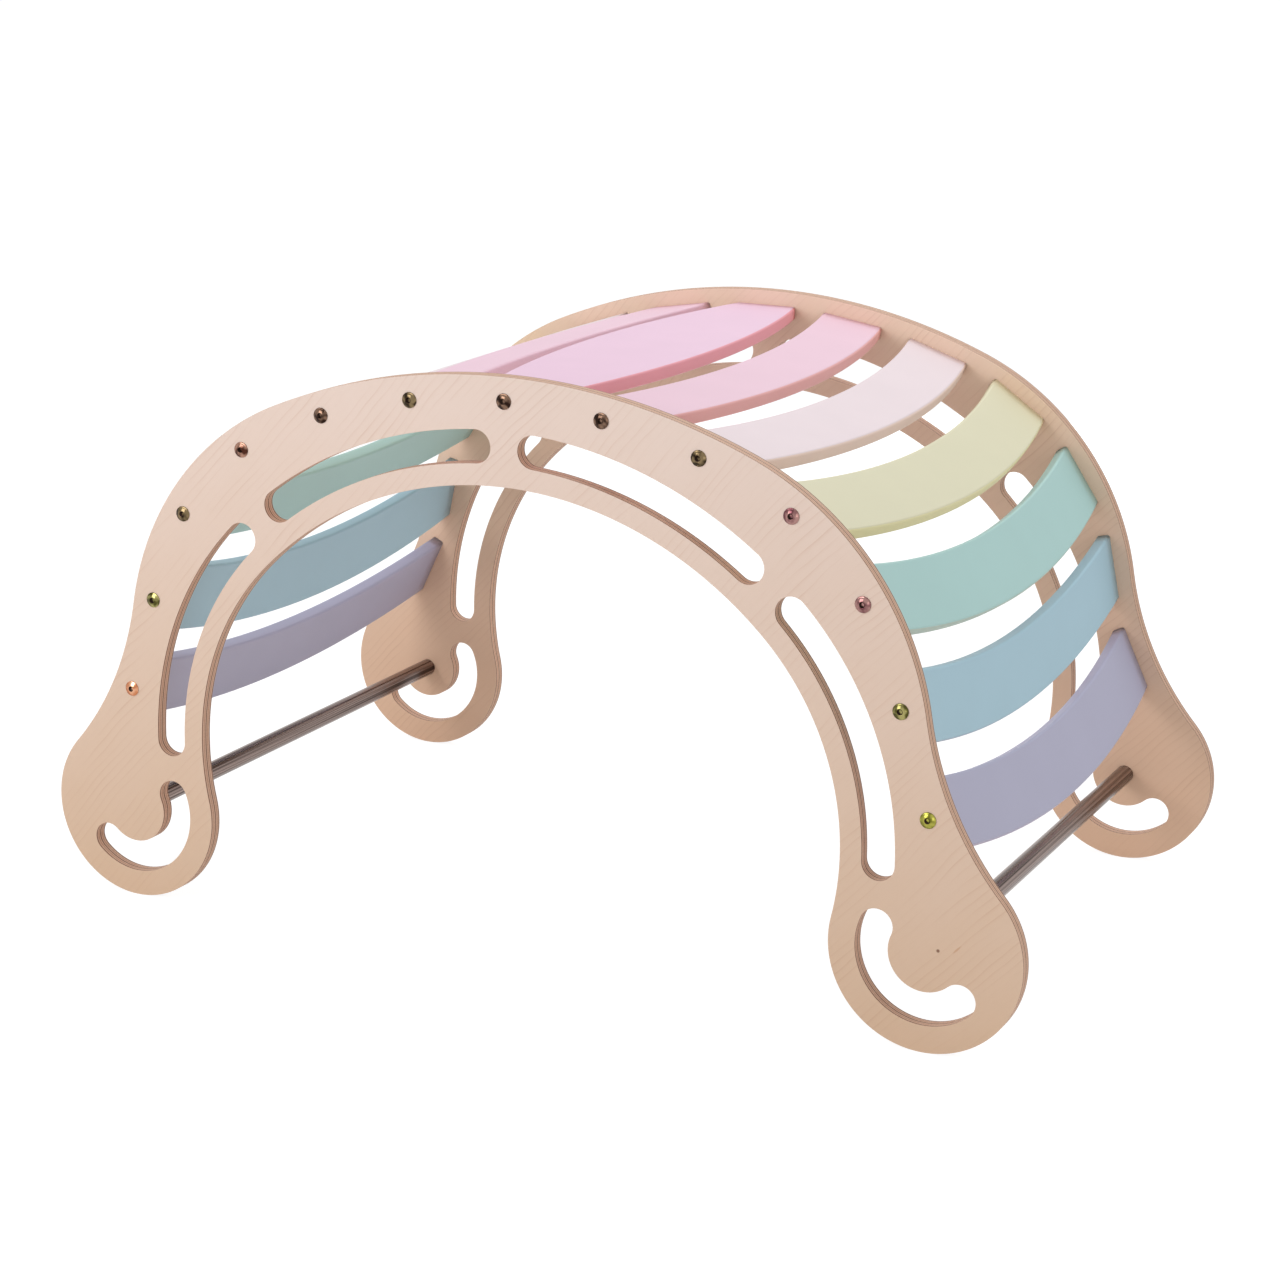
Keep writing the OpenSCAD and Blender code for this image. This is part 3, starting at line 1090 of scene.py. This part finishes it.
@dataclass
class Bolt:
    """One flanged bolt with a domed head and a hexagon socket.

    It is made on the Z axis, with its flange at the origin and its head up.
    """

    plan: ArchPlan
    side: Side
    index: int
    head_d: float = 0.016
    head_h: float = 0.0032
    flange_t: float = 0.0008
    shank_d: float = 0.006
    shank_l: float = 0.035
    chamfer: float = 0.0005
    socket_af: float = 0.004
    socket_depth: float = 0.002
    socket_sides: int = 6
    dish_r: float = 0.0030
    dish_depth: float = 0.0007
    dome_facets: int = 8
    sectors: int = 48
    # A face of the recess whose normal is steeper than this is a level floor
    level: float = 0.99

    @property
    def tint(self) -> BoltTint:
        """Tint of the bolt. The two panels have the same ones in the same order."""
        return BOLT_TINTS[self.index - 1]

    @property
    def seat(self) -> Matrix:
        """Seats the bolt on the outer face of its panel.

        Returns:
            The matrix that carries it there from the origin.
        """
        step = self.plan.step(self.index)
        point, turn = self.plan.seat(abs(step))
        if step < 0:
            point.x, turn = -point.x, -turn
        outer_face = self.side.sign * (self.plan.slat_l / 2 + self.plan.panel_t)
        return (Matrix.Translation(point) @ Matrix.Rotation(math.radians(turn), 4, "Y")
                @ Matrix.Translation(outer_face * ACROSS)
                @ Matrix.Rotation(-self.side.sign * math.pi / 2, 4, "X"))

    def turn_body(self, bm: BMesh) -> None:
        """Spins the outline of the shank, the flange and the dome, open at the dish.

        Args:
            bm: Empty mesh to build in.
        """
        shank_r, head_r = self.shank_d / 2, self.head_d / 2
        dome_r = head_r - self.flange_t
        dome_h = self.head_h - self.flange_t
        ball_r = (dome_r ** 2 + dome_h ** 2) / (2 * dome_h)
        corners = ((0, -self.shank_l), (shank_r - self.chamfer, -self.shank_l),
                   (shank_r, self.chamfer - self.shank_l), (shank_r, 0), (head_r, 0),
                   (head_r, self.flange_t), (dome_r, self.flange_t))
        path = [bm.verts.new((x, 0, z)) for x, z in corners]
        for a, b in zip(path, path[1:]):
            bm.edges.new((a, b))
        angle = math.asin(dome_r / ball_r) - math.asin(self.dish_r / ball_r)
        spin(bm, path[-1:], (self.head_h - ball_r) * UP, -ACROSS, angle,
             self.dome_facets)
        line = bm.verts[:] + bm.edges[:]
        spin(bm, line, ORIGIN, UP, math.tau, self.sectors, closed=True)
        bmesh.ops.remove_doubles(bm, verts=bm.verts[:], dist=WELD)

    def sink_socket(self, bm: BMesh) -> None:
        """Closes the head with its dish and the hexagon socket.

        Args:
            bm: Mesh of the turned body.
        """
        mouth = [e for e in bm.edges if e.is_boundary]
        corner_r = self.socket_af / 2 / math.cos(math.pi / self.socket_sides)
        ring = bmesh.ops.create_circle(bm, cap_ends=False, radius=corner_r,
                                       segments=self.socket_sides)
        top = max(v.co.z for e in mouth for v in e.verts)
        bmesh.ops.translate(bm, verts=ring["verts"], vec=(top - self.dish_depth) * UP)
        sides = [e for e in bm.edges if e.is_wire]
        cuts = self.sectors // self.socket_sides - 1
        bmesh.ops.subdivide_edges(bm, edges=sides, cuts=cuts)
        hexagon = [e for e in bm.edges if e.is_wire]
        bmesh.ops.bridge_loops(bm, edges=mouth + hexagon)
        down = bmesh.ops.extrude_edge_only(bm, edges=hexagon)
        bmesh.ops.translate(bm, verts=verts_of(down["geom"]),
                            vec=-self.socket_depth * UP)
        floor = [e for e in bm.edges if e.is_boundary]
        bmesh.ops.triangle_fill(bm, edges=floor, use_beauty=True, use_dissolve=True)
        bm.normal_update()

    def build(self, finishes: list[Material]) -> Object:
        """Builds the bolt and carries it to its seat.

        Args:
            finishes: Materials of its polished faces and of its recess, in painted
                shade.

        Returns:
            The finished piece.
        """
        bm = bmesh.new()
        self.turn_body(bm)
        self.sink_socket(bm)
        # The recess, all but its level floor, takes the dark tint of painted shade
        for face in bm.faces:
            centre = face.calc_center_median()
            in_shaded_recess = centre.z > 0 and centre.xy.length < self.dish_r
            is_level = abs(face.normal.z) >= self.level
            face.material_index = 1 if in_shaded_recess and not is_level else 0
        bmesh.ops.transform(bm, matrix=self.seat, verts=bm.verts[:])
        word = self.side.word
        name, node = f"{word}_bolt_{self.index}", f"bolt_{word}_{self.index}"
        return finish_piece(bm, name, node, finishes)


def dress_node(name: str, material: Material) -> None:
    """Gives a solid that stays its material.

    Args:
        name: Name of the solid's node.
        material: Its finish.
    """
    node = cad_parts[name]
    node.data.materials.clear()
    node.data.materials.append(material)
    log.info("dressed %s with %s", name, material.name)


# Studio


@dataclass(frozen=True)
class Softbox:
    """One soft square lamp of the studio."""

    name: str
    place: Triple
    target: Triple
    size: float
    watts: float
    in_gloss: bool = True

    def build(self) -> None:
        """Builds the lamp, aimed at its target."""
        lamp = bpy.data.lights.new(self.name, "AREA")
        lamp.shape = "SQUARE"
        lamp.size = self.size
        lamp.energy = self.watts
        holder = bpy.data.objects.new(self.name, lamp)
        holder.location = self.place
        way = Vector(self.target) - Vector(self.place)
        holder.rotation_euler = way.to_track_quat("-Z", "Y").to_euler()
        holder.visible_glossy = self.in_gloss
        bpy.context.scene.collection.objects.link(holder)


@dataclass(frozen=True)
class Studio:
    """Pale floor, soft light and the camera at the photograph's viewing angle."""

    ambient: float = 0.53
    bounce: str = "#ebe4de"
    floor_glow: float = 0.90
    floor_grey: float = 0.25
    floor_size: float = 40.0
    softboxes: tuple = (
        Softbox("key_softbox", (-1.2, -2.6, 1.5), (0.0, 0.0, 0.4), 1.6, 31.5),
        Softbox("top_softbox", (0.3, 1.2, 2.2), (0.0, 0.0, 0.4), 1.8, 17.0),
        Softbox("side_softbox", (2.0, -2.0, 0.5), (0.4, 0.0, 0.3), 1.2, 5.0),
        # Low behind the arch, where it lights no slat that the camera sees. Its
        # square would glint on the bars
        Softbox("back_softbox", (-0.45, 2.7, 0.36), (0.0, 0.0, 0.36), 0.6, 10.0,
                in_gloss=False),
    )
    sensor_mm: float = 36.0
    image_px: float = 1280.0
    focal_px: float = 2980.96
    axis_px: tuple = (600.0, 600.0)
    azimuth: float = 26.941
    elevation: float = 14.815
    roll: float = 0.484
    eye: Triple = (1.373799, -2.813455, 1.141825)

    def build_world(self) -> None:
        """Builds the ambient light, with plain white for what the camera sees."""
        world = bpy.data.worlds.new("studio_white")
        bpy.context.scene.world = world
        sheet = NodeSheet(world)
        light = sheet.add("Background", {"Color": WHITE, "Strength": self.ambient})
        white = sheet.add("Background", {"Color": WHITE})
        shown = sheet.add("MixShader", sheet.seen_rays(), light, white)
        sheet.add("OutputWorld", shown)

    def build_floor(self) -> None:
        """Builds the floor, which looks white and keeps a faint shadow."""
        bm = bmesh.new()
        bmesh.ops.create_grid(bm, x_segments=1, y_segments=1, size=self.floor_size / 2)
        mesh = bpy.data.meshes.new("floor")
        bm.to_mesh(mesh)
        bm.free()
        floor = bpy.data.objects.new("floor", mesh)
        bpy.context.scene.collection.objects.link(floor)
        sheet = NodeSheet(bpy.data.materials.new("studio_floor_matt"))
        bounce = sheet.add("BsdfDiffuse", {"Color": linear(self.bounce)})
        grey = sheet.add("BsdfDiffuse", {"Color": (self.floor_grey,) * 3 + (1.0,)})
        glow = sheet.add("Emission", {"Strength": self.floor_glow})
        seen = sheet.add("AddShader", grey, glow)
        shown = sheet.add("MixShader", sheet.seen_rays(), bounce, seen)
        mesh.materials.append(sheet.surface(shown))

    def build_camera(self) -> None:
        """Builds the camera from the angles and the image axis of the photograph."""
        data = bpy.data.cameras.new("camera")
        data.sensor_width = self.sensor_mm
        data.lens = self.focal_px / self.image_px * data.sensor_width
        data.shift_x = (self.image_px / 2 - self.axis_px[0]) / self.image_px
        data.shift_y = (self.axis_px[1] - self.image_px / 2) / self.image_px
        azimuth, elevation = math.radians(self.azimuth), math.radians(self.elevation)
        back = Vector((math.sin(azimuth) * math.cos(elevation),
                       -math.cos(azimuth) * math.cos(elevation), math.sin(elevation)))
        level = Vector((math.cos(azimuth), math.sin(azimuth), 0.0))
        right = Matrix.Rotation(math.radians(self.roll), 3, back) @ level
        turn = Matrix((right, back.cross(right), back)).transposed().to_4x4()
        camera = bpy.data.objects.new("camera", data)
        camera.matrix_world = Matrix.Translation(self.eye) @ turn
        bpy.context.scene.collection.objects.link(camera)
        bpy.context.scene.camera = camera

    def build(self) -> None:
        """Builds the studio round the object."""
        self.build_camera()
        self.build_world()
        self.build_floor()
        for softbox in self.softboxes:
            softbox.build()
        bpy.context.scene.view_settings.view_transform = "Standard"


def main() -> None:
    """Builds the studio and every piece."""
    logging.basicConfig(level=logging.INFO, format="%(name)s: %(message)s")
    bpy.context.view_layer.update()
    plan = ArchPlan()
    Studio().build()

    wood = [veneer.value.material() for veneer in Veneer] + [PlywoodEdge().material()]
    for side in (Side.FRONT, Side.BACK):
        log.info("built %s", SidePanel(plan, side).build(wood).name)

    paints = {paint: paint.materials() for paint in Paint}
    for index in plan.slats:
        slat = Slat(plan, index)
        log.info("built %s", slat.build(paints[slat.paint]).name)

    steel = [BrushedSteel().material()]
    for side in (Side.LEFT, Side.RIGHT):
        log.info("built %s", HandBar(plan, side).build(steel).name)

    zinc = {tint: tint.material() for tint in BoltTint}
    for side in (Side.FRONT, Side.BACK):
        for index in plan.slats:
            bolt = Bolt(plan, side, index)
            finishes = [zinc[bolt.tint], zinc[BoltTint.RECESS_SHADE]]
            log.info("built %s", bolt.build(finishes).name)

    brass, beech = TurnedBrass().material(), BeechRod().material()
    for side in (Side.FRONT, Side.BACK):
        dress_node(f"inserts_{side.word}", brass)
        dress_node(f"dowels_{side.word}", beech)


if __name__ == "__main__":
    main()
